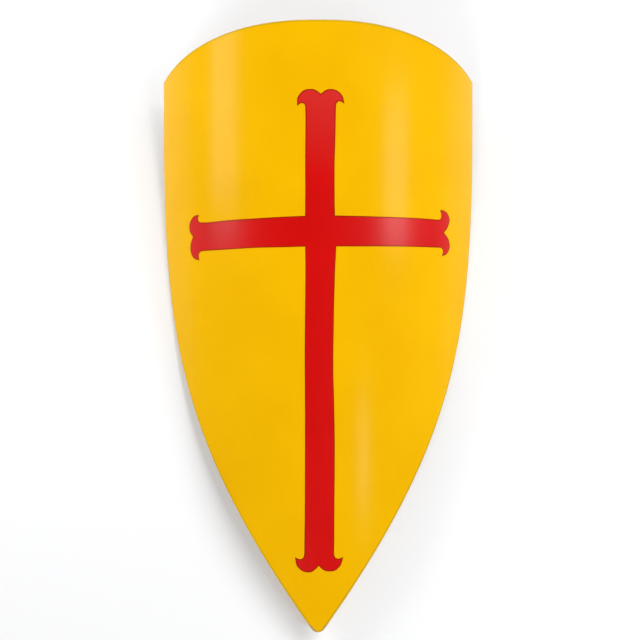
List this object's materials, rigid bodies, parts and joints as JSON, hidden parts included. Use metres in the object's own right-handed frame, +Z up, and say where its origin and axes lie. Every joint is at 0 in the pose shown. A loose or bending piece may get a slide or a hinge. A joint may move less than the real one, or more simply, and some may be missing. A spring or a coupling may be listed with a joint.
{
  "type": "shield",
  "caption": "Long wooden shield, bent round its length, with an arched top, a rounded point, a painted cross and leather arm straps.",
  "frame": {"origin": "centre of the box's underside, on the floor that the shield lies on", "axes": "+Z up, the painted face upwards; +Y towards the arched top, so the point is at -Y; X across the shield"},
  "size_m": [0.5074, 0.8862, 0.2009],
  "materials": {
    "painted_wood": "gloss yellow enamel with a red painted cross on the face, clear lacquer on the back",
    "strap_leather": "brown vegetable-tanned leather, waxed",
    "screw_steel": "dull zinc-plated steel"
  },
  "bodies": {
    "root": {"board": "painted_wood", "forearm_strap": "strap_leather", "hand_strap": "strap_leather", "forearm_strap_screw_1": "screw_steel", "forearm_strap_screw_2": "screw_steel", "forearm_strap_screw_3": "screw_steel", "forearm_strap_screw_4": "screw_steel", "hand_strap_screw_1": "screw_steel", "hand_strap_screw_2": "screw_steel", "hand_strap_screw_3": "screw_steel", "hand_strap_screw_4": "screw_steel"}
  },
  "joints": []
}
